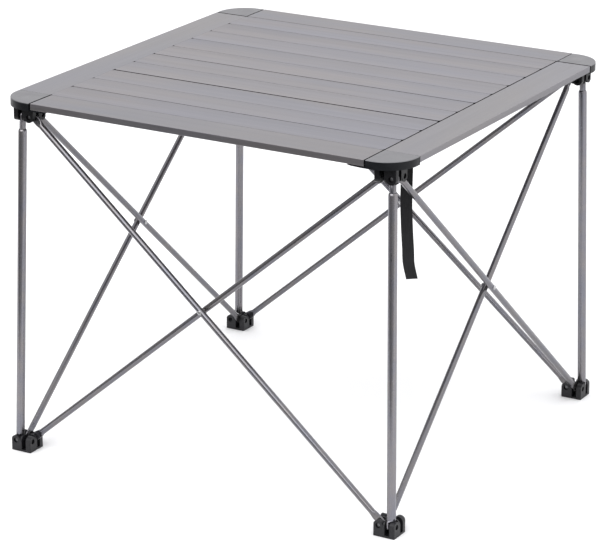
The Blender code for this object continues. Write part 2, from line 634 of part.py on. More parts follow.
def build_strap(mats):
    path = strap_path()
    bm = bmesh.new()
    rings = []
    for i, p in enumerate(path):
        a = path[max(i - 1, 0)]
        b = path[min(i + 1, len(path) - 1)]
        along = (b - a).normalized()
        wide = Vector((1, 0, 0)) - along * along.x
        wide.normalize()
        up = along.cross(wide).normalized()
        w, t = wide * STRAP_W / 2, up * STRAP_T / 2
        rings.append([bm.verts.new(q) for q in (p - w - t, p + w - t, p + w + t, p - w + t)])
    for a, b in zip(rings, rings[1:]):
        for i in range(4):
            j = (i + 1) % 4
            bm.faces.new((a[i], a[j], b[j], b[i]))
    bm.faces.new(rings[0][::-1])
    bm.faces.new(rings[-1])
    strap = mesh_of(bm, "strap")
    spot = (STRAP_X, STRAP_Y + STRAP_TAB * 0.62, TOP_HEIGHT - RAIL_THICK - 6 * MM)
    hole = rod_mesh("hole", spot, (0, 0, 1), 12 * MM, 1.9 * MM, 10)
    strap = combine(strap, [hole], "DIFFERENCE")
    finish("storage_strap", strap, mats["webbing"])
    low = TOP_HEIGHT - RAIL_THICK - GAP - STRAP_T - 0.25 * MM
    profile = [(-1.1 * MM, 1.4 * MM), (-0.8 * MM, 3.2 * MM), (0, 3.6 * MM), (0, 1.5 * MM), (1.7 * MM, 1.5 * MM)]
    rivet = turned_mesh("strap_rivet", (spot[0], spot[1], low), (0, 0, 1), profile, 10)
    finish("strap_rivet", rivet, mats["steel"])


def main():
    clear_scene()
    mats = {
        "rail": material("anodised_rail", (0.36, 0.355, 0.36), 0.42, 0.9),
        "slat": material("brushed_slat", (0.30, 0.295, 0.30), 0.45, 0.9),
        "cap": material("moulded_cap", (0.035, 0.037, 0.04), 0.45, 0.0),
        "block": material("moulded_block", (0.02, 0.02, 0.022), 0.5, 0.0),
        "tube": material("anodised_tube", (0.25, 0.25, 0.26), 0.35, 0.95),
        "steel": material("steel_pin", (0.5, 0.5, 0.5), 0.3, 1.0),
        "webbing": material("black_webbing", (0.012, 0.012, 0.013), 0.85, 0.0),
    }
    build_tabletop(mats)
    build_frame(mats)
    build_strap(mats)
    set_origins()


main()
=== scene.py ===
"""Looks of the folding camp table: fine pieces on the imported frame, materials, light and camera.

Metres, +Z up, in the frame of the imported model: the origin is on the floor under the middle of the
table, +X runs along the front edge and -Y is the front.
"""

import math

import bmesh
import bpy
from mathutils import Matrix, Vector


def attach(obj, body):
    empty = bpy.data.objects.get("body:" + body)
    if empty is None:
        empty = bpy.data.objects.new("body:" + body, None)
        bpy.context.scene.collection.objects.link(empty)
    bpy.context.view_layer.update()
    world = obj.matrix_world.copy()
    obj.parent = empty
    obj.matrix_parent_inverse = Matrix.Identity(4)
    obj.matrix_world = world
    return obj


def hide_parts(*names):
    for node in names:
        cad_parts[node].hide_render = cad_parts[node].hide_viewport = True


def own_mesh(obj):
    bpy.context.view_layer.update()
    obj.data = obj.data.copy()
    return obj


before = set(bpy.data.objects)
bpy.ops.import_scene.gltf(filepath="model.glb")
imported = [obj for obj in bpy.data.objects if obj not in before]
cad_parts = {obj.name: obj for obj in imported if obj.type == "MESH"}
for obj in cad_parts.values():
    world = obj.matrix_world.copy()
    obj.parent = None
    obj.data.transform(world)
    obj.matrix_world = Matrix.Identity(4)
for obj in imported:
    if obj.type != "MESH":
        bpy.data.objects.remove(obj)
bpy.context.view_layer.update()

MM = 0.001

# ---- sizes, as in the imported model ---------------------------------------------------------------
HALF = 350 * MM
TOP_HEIGHT = 580 * MM
STRIPS = 12
STRIP = 2 * HALF / STRIPS
INNER = HALF - STRIP
RAIL_THICK = 10 * MM
SLAT_THICK = 7.5 * MM
LEDGE = 9 * MM
LEDGE_THICK = 2 * MM
CAP_RADIUS = 50 * MM
CAP_DEEP = 12.8 * MM
CAP_PLATE = 3 * MM
CAP_WALL = 3 * MM
LIP_REACH = 30 * MM
GAP = 0.3 * MM

HEAD_CENTRE = 315 * MM
FOOT_CENTRE = 328 * MM
BLOCK = 36 * MM
BLOCK_HIGH = 25.3 * MM
BLOCK_BASE = 3.2 * MM
HEAD_TOP = TOP_HEIGHT - 12 * MM
SLOT = 8 * MM
SLOT_DEEP = 16.6 * MM
SLOT_OFF = 0.15 * BLOCK
PIN_OFF = 0.27 * BLOCK
PIN_HIGH = 17 * MM
EAR_RADIUS = BLOCK_HIGH - PIN_HIGH
PIN_R = 2.0 * MM
HEAD_R = 3.5 * MM
RECESS_R = 4.1 * MM
RECESS_DEEP = 3.6 * MM
LEG_OFF = 7.7 * MM
OUTER_R = 6.9 * MM
OUTER_BORE = 6.3 * MM
INNER_R = 5.1 * MM
INNER_LOW_R = 4.0 * MM
INNER_LOW_BORE = 3.2 * MM
INNER_BORE = 4.1 * MM
MOUTH_BELOW_PIN = 22.5 * MM
INNER_LONG = 360 * MM
BAR_R = 4.9 * MM
BAR_BORE = 4.0 * MM
TONGUE_W = 6.6 * MM
TONGUE_T = 1.9 * MM
RIVET_R = 2.0 * MM
RIVET_HEAD_R = 3.8 * MM

STRAP_W = 20 * MM
STRAP_T = 1.5 * MM
STRAP_X = 305 * MM
STRAP_Y = -246 * MM
STRAP_TAB = 24 * MM
STRAP_LOW = 374 * MM
# How far the hanging strap has drifted to the right, by height, in millimetres.
STRAP_DRIFT = ((640, 0.0), (568, 0.0), (493, -0.7), (458, 1.2), (420, 4.2), (398, 5.2), (374, 10.4), (350, 16.0))

# Width of the gap between each strip and the next, from the front: one is open, two are half open.
JOINT_GAPS = [0.5, 1.4, 0.5, 3.4, 0.6, 1.8, 0.5, 0.8, 0.5, 0.6, 0.6]


# ---- material helpers ----------------------------------------------------------------------------
class Nodes:
    """A material's node tree, with short calls for the nodes used here."""

    def __init__(self, name, colour, rough, metal):
        self.mat = bpy.data.materials.new(name)
        self.mat.use_nodes = True
        self.tree = self.mat.node_tree
        self.shader = self.tree.nodes["Principled BSDF"]
        self.shader.inputs["Base Color"].default_value = (*colour, 1)
        self.shader.inputs["Roughness"].default_value = rough
        self.shader.inputs["Metallic"].default_value = metal
        self.mat.diffuse_color = (*colour, 1)
        self.coord = self.tree.nodes.new("ShaderNodeTexCoord")

    def link(self, a, b):
        self.tree.links.new(a, b)

    def scaled(self, scale, space="Object", place=(0, 0, 0)):
        node = self.tree.nodes.new("ShaderNodeMapping")
        node.inputs["Scale"].default_value = scale
        node.inputs["Location"].default_value = place
        self.link(self.coord.outputs[space], node.inputs["Vector"])
        return node.outputs["Vector"]

    def noise(self, vector, scale=1.0, detail=2.0, rough=0.5, distort=0.0):
        node = self.tree.nodes.new("ShaderNodeTexNoise")
        node.inputs["Scale"].default_value = scale
        node.inputs["Detail"].default_value = detail
        node.inputs["Roughness"].default_value = rough
        node.inputs["Distortion"].default_value = distort
        self.link(vector, node.inputs["Vector"])
        return node.outputs["Fac"]

    def voronoi(self, vector, scale=1.0, feature="F1"):
        node = self.tree.nodes.new("ShaderNodeTexVoronoi")
        node.feature = feature
        node.inputs["Scale"].default_value = scale
        self.link(vector, node.inputs["Vector"])
        return node.outputs["Distance"]

    def math(self, operation, a, b=None, clamp=False):
        node = self.tree.nodes.new("ShaderNodeMath")
        node.operation = operation
        node.use_clamp = clamp
        for socket, value in zip(node.inputs, (a, b)):
            if value is None:
                continue
            if isinstance(value, (int, float)):
                socket.default_value = value
            else:
                self.link(value, socket)
        return node.outputs[0]

    def span(self, value, low, high, from_low=0.0, from_high=1.0):
        node = self.tree.nodes.new("ShaderNodeMapRange")
        node.inputs["From Min"].default_value = from_low
        node.inputs["From Max"].default_value = from_high
        node.inputs["To Min"].default_value = low
        node.inputs["To Max"].default_value = high
        self.link(value, node.inputs["Value"])
        return node.outputs["Result"]

    def mix(self, factor, a, b, blend="MIX"):
        node = self.tree.nodes.new("ShaderNodeMix")
        node.data_type = "RGBA"
        node.blend_type = blend
        node.clamp_factor = True
        for socket, value in ((node.inputs[0], factor), (node.inputs[6], a), (node.inputs[7], b)):
            if isinstance(value, (int, float)):
                socket.default_value = value
            elif isinstance(value, tuple):
                socket.default_value = (*value, 1)
            else:
                self.link(value, socket)
        return node.outputs[2]

    def times(self, colour, value):
        node = self.tree.nodes.new("ShaderNodeVectorMath")
        node.operation = "SCALE"
        self.link(colour, node.inputs[0])
        self.link(value, node.inputs["Scale"])
        return node.outputs["Vector"]

    def bump(self, height, strength, distance):
        node = self.tree.nodes.new("ShaderNodeBump")
        node.inputs["Strength"].default_value = strength
        node.inputs["Distance"].default_value = distance
        self.link(height, node.inputs["Height"])
        self.link(node.outputs["Normal"], self.shader.inputs["Normal"])

    def put(self, socket, value):
        self.link(value, self.shader.inputs[socket])


def brushed_metal(name, colour, warm, cool, rough, along, streak=0.07, seed=0.0, painted_edge_light=0.0):
    """Anodised aluminium, brushed along X or Y, with soft bands and a faint brown or violet cast."""
    n = Nodes(name, colour, rough, 0.88)

    def stretched(long, wide, place):
        scale = (long, wide, wide) if along == "X" else (wide, long, wide)
        return n.scaled(scale, place=(place, place * 0.7, place * 0.3))

    hair = n.noise(stretched(9.0, 1500.0, seed + 1), detail=2.5, rough=0.6)
    bands = n.noise(stretched(1.1, 95.0, seed + 3), detail=3.0, rough=0.62)
    cast = n.noise(stretched(2.2, 17.0, seed + 5), detail=2.0, rough=0.5)
    cloud = n.noise(stretched(5.0, 9.0, seed + 8), detail=3.0, rough=0.55)
    # Each strip has its own tone.
    split = n.tree.nodes.new("ShaderNodeSeparateXYZ")
    n.link(n.coord.outputs["Object"], split.inputs[0])
    across = split.outputs["Y" if along == "X" else "X"]
    index = n.math("ADD", n.math("FLOOR", n.math("DIVIDE", n.math("ADD", across, HALF), STRIP)), seed)
    white = n.tree.nodes.new("ShaderNodeTexWhiteNoise")
    white.noise_dimensions = "1D"
    n.link(index, white.inputs["W"])
    tint = n.mix(n.span(cast, 0.0, 1.0, 0.36, 0.64), warm, cool)
    tint = n.mix(n.span(cloud, 0.0, 0.55, 0.35, 0.7), tint, colour)
    tone = n.math("ADD", n.span(bands, 1 - streak, 1 + streak, 0.3, 0.7), n.span(hair, -0.045, 0.045, 0.25, 0.75))
    tone = n.math("ADD", tone, n.span(white.outputs["Value"], -0.035, 0.035))
    # Painted light: each strip is painted a little lighter towards its front edge and darker towards its back edge.
    place = n.math("FRACT", n.math("DIVIDE", n.math("ADD", across, HALF), STRIP))
    tone = n.math("ADD", tone, n.span(place, painted_edge_light, -painted_edge_light))
    n.put("Base Color", n.times(tint, tone))
    n.put("Roughness", n.math("ADD", n.span(hair, rough - 0.05, rough + 0.06, 0.25, 0.75), n.span(cloud, -0.02, 0.03)))
    n.bump(hair, 0.12, 0.00008)
    return n.mat


def moulded(name, colour, light, rough, grain=1500.0, depth=0.00006, metal=0.0, strength=0.35, scuff=0.5, gloss=0.4):
    """Moulded plastic with a fine spark-eroded grain, soft flow marks and rubbed spots."""
    n = Nodes(name, colour, rough, metal)
    fine = n.noise(n.scaled((grain, grain, grain)), detail=2.0, rough=0.6)
    flow = n.noise(n.scaled((38.0, 38.0, 55.0)), detail=4.0, rough=0.6, distort=0.4)
    rub = n.noise(n.scaled((150.0, 150.0, 190.0), place=(3, 1, 2)), detail=5.0, rough=0.7)
    shade = n.mix(n.span(flow, 0.0, 1.0, 0.32, 0.68), colour, light)
    worn = n.span(rub, 0.0, scuff, 0.60, 0.78)
    shade = n.mix(worn, shade, tuple(min(1.0, c * 1.9 + 0.01) for c in light))
    n.put("Base Color", shade)
    n.put("Roughness", n.math("ADD", n.span(flow, rough - 0.06, rough + 0.08, 0.3, 0.7), n.span(fine, -0.03, 0.03)))
    n.bump(n.math("ADD", fine, n.math("MULTIPLY", flow, 0.5)), strength, depth)
    n.shader.inputs["Specular IOR Level"].default_value = gloss
    return n.mat


def drawn_tube(name, colour, rough, metal=0.92):
    """Anodised drawn tube: fine lines along its length, which run by the tube's own UV."""
    n = Nodes(name, colour, rough, metal)
    lines = n.noise(n.scaled((26.0, 3.0, 1.0), "UV"), detail=3.0, rough=0.6)
    rings = n.noise(n.scaled((2.0, 26.0, 1.0), "UV", (1, 3, 0)), detail=3.0, rough=0.6)
    marks = n.noise(n.scaled((9.0, 130.0, 1.0), "UV", (7, 2, 0)), detail=4.0, rough=0.72)
    cool = tuple(c * k for c, k in zip(colour, (0.93, 0.95, 1.03)))
    warm = tuple(c * k for c, k in zip(colour, (1.08, 1.04, 1.0)))
    tint = n.mix(n.span(rings, 0.0, 1.0, 0.35, 0.65), cool, warm)
    tone = n.math("ADD", n.span(lines, 0.93, 1.07, 0.3, 0.7), n.span(marks, 0.0, 0.12, 0.60, 0.80))
    n.put("Base Color", n.times(tint, tone))
    n.put("Roughness", n.math("ADD", n.span(lines, rough - 0.05, rough + 0.05, 0.3, 0.7), n.span(marks, 0.0, 0.10, 0.6, 0.8)))
    n.bump(lines, 0.10, 0.00006)
    return n.mat


def turned_steel(name, colour, rough):
    n = Nodes(name, colour, rough, 1.0)
    fine = n.noise(n.scaled((900.0, 900.0, 900.0)), detail=3.0, rough=0.65)
    stain = n.noise(n.scaled((140.0, 140.0, 140.0)), detail=3.0, rough=0.6)
    dark = tuple(c * 0.72 for c in colour)
    n.put("Base Color", n.mix(n.span(stain, 0.0, 1.0, 0.38, 0.66), dark, colour))
    n.put("Roughness", n.math("ADD", n.span(fine, rough - 0.07, rough + 0.08, 0.3, 0.7), n.span(stain, 0.06, -0.04)))
    n.bump(fine, 0.14, 0.00005)
    return n.mat


def webbing(name):
    """Black polyester webbing: ribs along it and a fine weave across, by its own UV in millimetres."""
    n = Nodes(name, (0.012, 0.012, 0.014), 0.82, 0.0)
    n.shader.inputs["Sheen Weight"].default_value = 0.08
    n.shader.inputs["Sheen Roughness"].default_value = 0.45
    n.shader.inputs["Specular IOR Level"].default_value = 0.35
    split = n.tree.nodes.new("ShaderNodeSeparateXYZ")
    n.link(n.coord.outputs["UV"], split.inputs[0])
    u, v = split.outputs["X"], split.outputs["Y"]
    cross = n.math("SINE", n.math("MULTIPLY", v, 2 * math.pi / 1.25))
    rib = n.math("SINE", n.math("MULTIPLY", u, 2 * math.pi / 1.5))
    weave = n.math("MULTIPLY", cross, rib)
    fuzz = n.noise(n.scaled((3.2, 1.1, 1.0), "UV"), detail=4.0, rough=0.7)
    height = n.math("ADD", n.math("MULTIPLY", weave, 0.5), fuzz)
    # Painted light: the weave's raised threads are painted lighter and its hollows darker.
    shade = n.mix(n.span(height, 0.0, 1.0, 0.1, 1.0), (0.002, 0.002, 0.0025), (0.012, 0.012, 0.014))
    dust = n.noise(n.scaled((0.11, 0.05, 1.0), "UV", (5, 5, 0)), detail=3.0)
    n.put("Base Color", n.mix(n.span(dust, 0.0, 0.3, 0.45, 0.75), shade, (0.016, 0.016, 0.0175)))
    n.put("Roughness", n.span(fuzz, 0.74, 0.9, 0.3, 0.7))
    n.bump(height, 0.8, 0.00022)
    return n.mat


def floor_material(name):
    n = Nodes(name, (0.92, 0.92, 0.925), 0.75, 0.0)
    n.shader.inputs["Specular IOR Level"].default_value = 0.1
    soft = n.noise(n.scaled((0.7, 0.7, 0.7)), detail=2.0)
    n.put("Base Color", n.mix(n.span(soft, 0.0, 1.0, 0.3, 0.7), (0.915, 0.917, 0.922), (0.925, 0.925, 0.928)))
    return n.mat


MATS = {
    "rail_x": brushed_metal("rail_along_x", (0.180, 0.176, 0.190), (0.190, 0.178, 0.182), (0.175, 0.173, 0.196), 0.40, "X", 0.035, 2.0),
    "rail_y": brushed_metal("rail_along_y", (0.192, 0.188, 0.202), (0.200, 0.190, 0.195), (0.189, 0.186, 0.208), 0.40, "Y", 0.035, 6.0),
    # The slats get the painted light across each strip, lighter at its front edge.
    "slat": brushed_metal("slat_brushed", (0.201, 0.196, 0.212), (0.214, 0.198, 0.203), (0.194, 0.191, 0.218), 0.42, "X", 0.06, 11.0, 0.075),
    "cap_top": moulded("cap_top_grey", (0.147, 0.145, 0.154), (0.164, 0.162, 0.172), 0.42, 1900.0, 0.00004, 0.6, 0.25, 0.12),
    "cap_skirt": moulded("cap_skirt_black", (0.0030, 0.0034, 0.0046), (0.0055, 0.006, 0.0078), 0.40, 1500.0, 0.00006, 0.0, 0.35, 0.2, 0.2),
    "block": moulded("block_nylon", (0.0062, 0.006, 0.0075), (0.011, 0.0107, 0.0132), 0.44, 1300.0, 0.00008, 0.0, 0.40, 0.15, 0.34),
    # Painted shade: the head blocks get a darker copy of the block nylon, as they stand in the shade under the
    # tabletop.
    "head": moulded("head_nylon_painted_shade", (0.0026, 0.0026, 0.0034), (0.0050, 0.0049, 0.0062), 0.44, 1300.0, 0.00008, 0.0, 0.40, 0.12, 0.2),
    "leg_outer": drawn_tube("leg_tube", (0.205, 0.201, 0.212), 0.26),
    "leg_inner": drawn_tube("leg_neck_tube", (0.168, 0.165, 0.173), 0.32),
    "bar": drawn_tube("bar_tube", (0.166, 0.163, 0.171), 0.24),
    "steel": turned_steel("pin_steel", (0.17, 0.17, 0.176), 0.38),
    "rivet": turned_steel("rivet_steel", (0.50, 0.50, 0.51), 0.30),
    # Painted shade: a near-black material for the walls in the gaps between the strips and beside the rails, where
    # shade falls.
    "gap_painted_shade": moulded("joint_gap_painted_shade", (0.006, 0.006, 0.007), (0.012, 0.012, 0.013), 0.6, 900.0, 0.00005, 0.0, 0.3, 0.1, 0.2),
    "webbing": webbing("strap_webbing"),
}


# ---- mesh helpers --------------------------------------------------------------------------------
def mesh_of(bm, name, recalc=True):
    if recalc:
        bmesh.ops.recalc_face_normals(bm, faces=bm.faces[:])
    mesh = bpy.data.meshes.new(name)
    bm.to_mesh(mesh)
    bm.free()
    return mesh


def piece(name, mesh, mats, body, nodes=(), smooth=35.0, matrix=None, flat=False):
    """A finished visible piece on a body; nodes are the CAD nodes it stands for. A flat piece keeps its
    large faces flat in the shading, so only its small rounded edges are smooth."""
    if matrix is not None:
        mesh.transform(matrix)
    mesh.name = name
    if not isinstance(mats, (list, tuple)):
        mats = [mats]
    mesh.materials.clear()
    for mat in mats:
        mesh.materials.append(mat)
    mesh.shade_smooth()
    mesh.set_sharp_from_angle(angle=math.radians(smooth))
    obj = bpy.data.objects.new(name, mesh)
    bpy.context.scene.collection.objects.link(obj)
    if flat:
        mod = obj.modifiers.new("normals", "WEIGHTED_NORMAL")
        mod.keep_sharp = True
        bpy.context.view_layer.update()
        even = bpy.data.meshes.new_from_object(obj.evaluated_get(bpy.context.evaluated_depsgraph_get()))
        obj.modifiers.clear()
        obj.data = even
        even.name = name
    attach(obj, body)
    if nodes:
        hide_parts(*nodes)
    return obj


def paint_gap_shade(obj, test):
    """Gives the faces of a piece that stand in its joints a second, near-black material: painted shade in the gaps."""
    obj.data.materials.append(MATS["gap_painted_shade"])
    for face in obj.data.polygons:
        if test(face.center, face.normal):
            face.material_index = 1


def box_mesh(name, low, high, bevel=0.0, which=None, segments=3):
    bm = bmesh.new()
    bmesh.ops.create_cube(bm, size=1.0)
    bmesh.ops.scale(bm, vec=[high[i] - low[i] for i in range(3)], verts=bm.verts)
    bmesh.ops.translate(bm, vec=[(high[i] + low[i]) / 2 for i in range(3)], verts=bm.verts)
    if bevel:
        edges = [e for e in bm.edges if which is None or which(e)]
        bmesh.ops.bevel(bm, geom=edges, offset=bevel, segments=segments, profile=0.5, affect="EDGES")
    return mesh_of(bm, name)


def prism_mesh(name, outline, z0, z1):
    bm = bmesh.new()
    low = [bm.verts.new((x, y, z0)) for x, y in outline]
    made = bmesh.ops.extrude_face_region(bm, geom=[bm.faces.new(low)])
    top = [v for v in made["geom"] if isinstance(v, bmesh.types.BMVert)]
    bmesh.ops.translate(bm, vec=(0, 0, z1 - z0), verts=top)
    return mesh_of(bm, name)


def turned_mesh(name, start, along, profile, sides=28):
    """A turned solid on an axis: the profile is a list of (distance, radius)."""
    bm = bmesh.new()
    rings = []
    for dist, rad in profile:
        ring = []
        for i in range(sides):
            t = 2 * math.pi * i / sides
            ring.append(bm.verts.new((rad * math.cos(t), rad * math.sin(t), dist)))
        rings.append(ring)
    for a, b in zip(rings, rings[1:]):
        for i in range(sides):
            j = (i + 1) % sides
            bm.faces.new((a[i], a[j], b[j], b[i]))
    bm.faces.new(rings[0][::-1])
    bm.faces.new(rings[-1])
    turn = Vector(along).to_track_quat("Z", "Y").to_matrix().to_4x4()
    bmesh.ops.transform(bm, matrix=Matrix.Translation(Vector(start)) @ turn, verts=bm.verts)
    return mesh_of(bm, name)


def rod_mesh(name, start, along, length, radius, sides=32):
    return turned_mesh(name, start, along, [(0, radius), (length, radius)], sides)


def combine(mesh, others, operation, tidy=True):
    """The mesh with each of the others cut from it or joined to it."""
    base = bpy.data.objects.new("base", mesh)
    bpy.context.scene.collection.objects.link(base)
    tools = []
    for i, other in enumerate(others):
        tool = bpy.data.objects.new("tool", other)
        bpy.context.scene.collection.objects.link(tool)
        tools.append(tool)
        mod = base.modifiers.new("cut_%d" % i, "BOOLEAN")
        mod.operation = operation
        mod.object = tool
        mod.solver = "EXACT"
    bpy.context.view_layer.update()
    graph = bpy.context.evaluated_depsgraph_get()
    result = bpy.data.meshes.new_from_object(base.evaluated_get(graph))
    for obj in tools + [base]:
        bpy.data.objects.remove(obj, do_unlink=True)
    bm = bmesh.new()
    bm.from_mesh(result)
    bmesh.ops.remove_doubles(bm, verts=bm.verts, dist=0.000002)
    if not tidy:
        return mesh_of(bm, mesh.name)
    bmesh.ops.dissolve_limit(bm, angle_limit=math.radians(0.3), verts=bm.verts, edges=bm.edges)
    return mesh_of(bm, mesh.name)


def eased(mesh, width, segments=2, angle=38.0):
    """The mesh with its sharp edges rounded a little."""
    obj = bpy.data.objects.new("eased", mesh)
    bpy.context.scene.collection.objects.link(obj)
    mod = obj.modifiers.new("ease", "BEVEL")
    mod.width = width
    mod.segments = segments
    mod.limit_method = "ANGLE"
    mod.angle_limit = math.radians(angle)
    mod.use_clamp_overlap = True
    mod.miter_outer = "MITER_SHARP"
    mod.harden_normals = False
    bpy.context.view_layer.update()
    graph = bpy.context.evaluated_depsgraph_get()
    result = bpy.data.meshes.new_from_object(obj.evaluated_get(graph))
    bpy.data.objects.remove(obj, do_unlink=True)
    return result


# ---- tabletop ------------------------------------------------------------------------------------
def rounded_loop(w0, w1, z0, z1, top, low, steps=4):
    """A rounded rectangle in (w, z), anticlockwise from its lower left corner. top and low are radii."""
    points = []
    corners = [(w0, z0, low, 180), (w1, z0, low, 270), (w1, z1, top, 0), (w0, z1, top, 90)]
    for w, z, rad, start in corners:
        cw = w + rad if w == w0 else w - rad
        cz = z + rad if z == z0 else z - rad
        for i in range(steps + 1):
            t = math.radians(start + 90 * i / steps)
            points.append((cw + rad * math.cos(t), cz + rad * math.sin(t)))
    return points


def extrusion(name, outer, inner, stations, along):
    """A hollow extrusion. A station is (distance, inset): the section narrows by the inset on each side."""
    bm = bmesh.new()
    skins = []
    for loop in (outer, inner):
        mid = (max(p[0] for p in loop) + min(p[0] for p in loop)) / 2
        rings = []
        for dist, inset in stations:
            ring = []
            for w, z in loop:
                w = w - inset if w > mid else w + inset
                ring.append(bm.verts.new((dist, w, z) if along == "X" else (w, dist, z)))
            rings.append(ring)
        for a, b in zip(rings, rings[1:]):
            for i in range(len(loop)):
                j = (i + 1) % len(loop)
                bm.faces.new((a[i], a[j], b[j], b[i]))
        skins.append(rings)
    bm.edges.ensure_lookup_table()
    for end in (0, -1):
        edges = []
        for rings in skins:
            ring = rings[end]
            for i in range(len(ring)):
                edges.append(bm.edges.get((ring[i], ring[(i + 1) % len(ring)])))
        bmesh.ops.triangle_fill(bm, edges=edges, use_beauty=True, use_dissolve=False)
    return mesh_of(bm, name)


def end_stations(low, high, radius, steps=4):
    """Stations of a strip whose four corners are round when seen from above."""
    stations = []
    for i in range(steps + 1):
        t = math.pi / 2 * i / steps
        stations.append((low + radius * (1 - math.sin(t)), radius * (1 - math.cos(t))))
    stations = stations[::-1]
    return stations[::1] + [(low + high - d, inset) for d, inset in stations[::-1]]


def build_strips():
    for i in range(STRIPS):
        front = JOINT_GAPS[i - 1] * MM / 2 if i else 0
        back = JOINT_GAPS[i] * MM / 2 if i < STRIPS - 1 else 0
        y0 = -HALF + i * STRIP + front
        y1 = -HALF + (i + 1) * STRIP - back
        if i in (0, STRIPS - 1):
            name = "front_rail" if i == 0 else "back_rail"
            left, right = (-INNER + 2.6 * MM, INNER - 2.0 * MM) if i == 0 else (-INNER + 2.0 * MM, INNER - 1.2 * MM)
            z0, z1 = TOP_HEIGHT - RAIL_THICK, TOP_HEIGHT
            outer = rounded_loop(y0, y1, z0, z1, 0.55 * MM, 0.9 * MM, 5)
            inner = rounded_loop(y0 + 1.5 * MM, y1 - 1.5 * MM, z0 + 1.4 * MM, z1 - 1.4 * MM, 0.6 * MM, 0.6 * MM, 5)
            stations = [(left, 0.25 * MM), (left + 0.25 * MM, 0)]
            stations += [(right - 0.25 * MM, 0), (right, 0.25 * MM)]
            body = "front_rail" if i == 0 else "tabletop"
            mat, slot = MATS["rail_x"], "rail"
        else:
            name = body = "slat_%02d" % i
            z0, z1 = TOP_HEIGHT - SLAT_THICK, TOP_HEIGHT - 0.12 * MM
            outer = rounded_loop(y0, y1, z0, z1, 0.22 * MM, 0.5 * MM, 4)
            inner = rounded_loop(y0 + 1.3 * MM, y1 - 1.3 * MM, z0 + 1.2 * MM, z1 - 1.2 * MM, 0.5 * MM, 0.5 * MM, 4)
            # The slats are pushed against the left rail, so the open gap is at the right rail.
            left, right = -INNER + 0.1 * MM, INNER - 2.0 * MM
            stations = end_stations(left, right, 4.5 * MM)
            mat, slot = MATS["slat"], "slat"
        mesh = extrusion(name, outer, inner, stations, "X")
        obj = piece(name + "_fine", mesh, mat, body, [name], smooth=32, flat=True)
        # The front rail's front and the back rail's back keep the rail's colour; the strip's ends and its walls in the
        # joints get the painted shade.
        low, high = y0 + 1 * MM * (i == 0) - 1e-5, y1 - 1 * MM * (i == STRIPS - 1) + 1e-5
        paint_gap_shade(obj, lambda c, n: abs(n.z) < 0.8 and (abs(n.x) > 0.7 or low < c.y < high))


def build_side_rails():
    for name, s in (("left_rail", -1), ("right_rail", 1)):
        x0, x1 = sorted((s * INNER, s * HALF))
        z0, z1 = TOP_HEIGHT - RAIL_THICK, TOP_HEIGHT
        loop = rounded_loop(x0, x1, z0, z1, 0.6 * MM, 0.9 * MM, 5)
        # The ledge stands out from the inner side, under the slats.
        tip, lip = s * (INNER - LEDGE), z0 + LEDGE_THICK
        ledge = [(s * INNER, lip), (tip + s * 0.4 * MM, lip), (tip, lip - 0.4 * MM), (tip, z0 + 0.4 * MM), (tip + s * 0.4 * MM, z0)]
        # The four corners of the loop run: lower left, lower right, upper right, upper left.
        n = 6
        if s > 0:
            # Inner side is at the low end of x: the ledge replaces the lower left corner.
            outer = ledge + [p for p in loop[n:]]
        else:
            outer = loop[:n] + ledge[::-1] + loop[2 * n:]
        inner = rounded_loop(x0 + 1.5 * MM, x1 - 1.5 * MM, z0 + 1.4 * MM, z1 - 1.4 * MM, 0.6 * MM, 0.6 * MM, 5)
        back = 3.2 * MM if s > 0 else 2.8 * MM
        mesh = extrusion(name, outer, inner, [(-INNER + 0.05 * MM, 0), (INNER - back, 0)], "Y")
        obj = piece(name + "_fine", mesh, MATS["rail_y"], "tabletop", [name], smooth=32, flat=True)
        # Painted shade: the rail's ends, its inner side and its ledge top are near-black, as the gap beside the slats
        # is in shade.
        paint_gap_shade(obj, lambda c, n: abs(n.y) > 0.7 or (s * c.x < INNER + 5 * MM and (abs(n.x) > 0.72 or (n.z > 0.9 and c.z < TOP_HEIGHT - 5 * MM))))


def cap_outline(inset, sx, sy, steps=28):
    near = INNER + GAP + inset
    far = HALF - inset
    rad = CAP_RADIUS - inset
    mid = HALF - CAP_RADIUS
    points = [(near, near), (far, near)]
    for i in range(steps + 1):
        t = math.pi / 2 * i / steps
        points.append((mid + rad * math.cos(t), mid + rad * math.sin(t)))
    points.append((near, far))
    points = [(sx * x, sy * y) for x, y in points]
    return points if sx * sy > 0 else points[::-1]


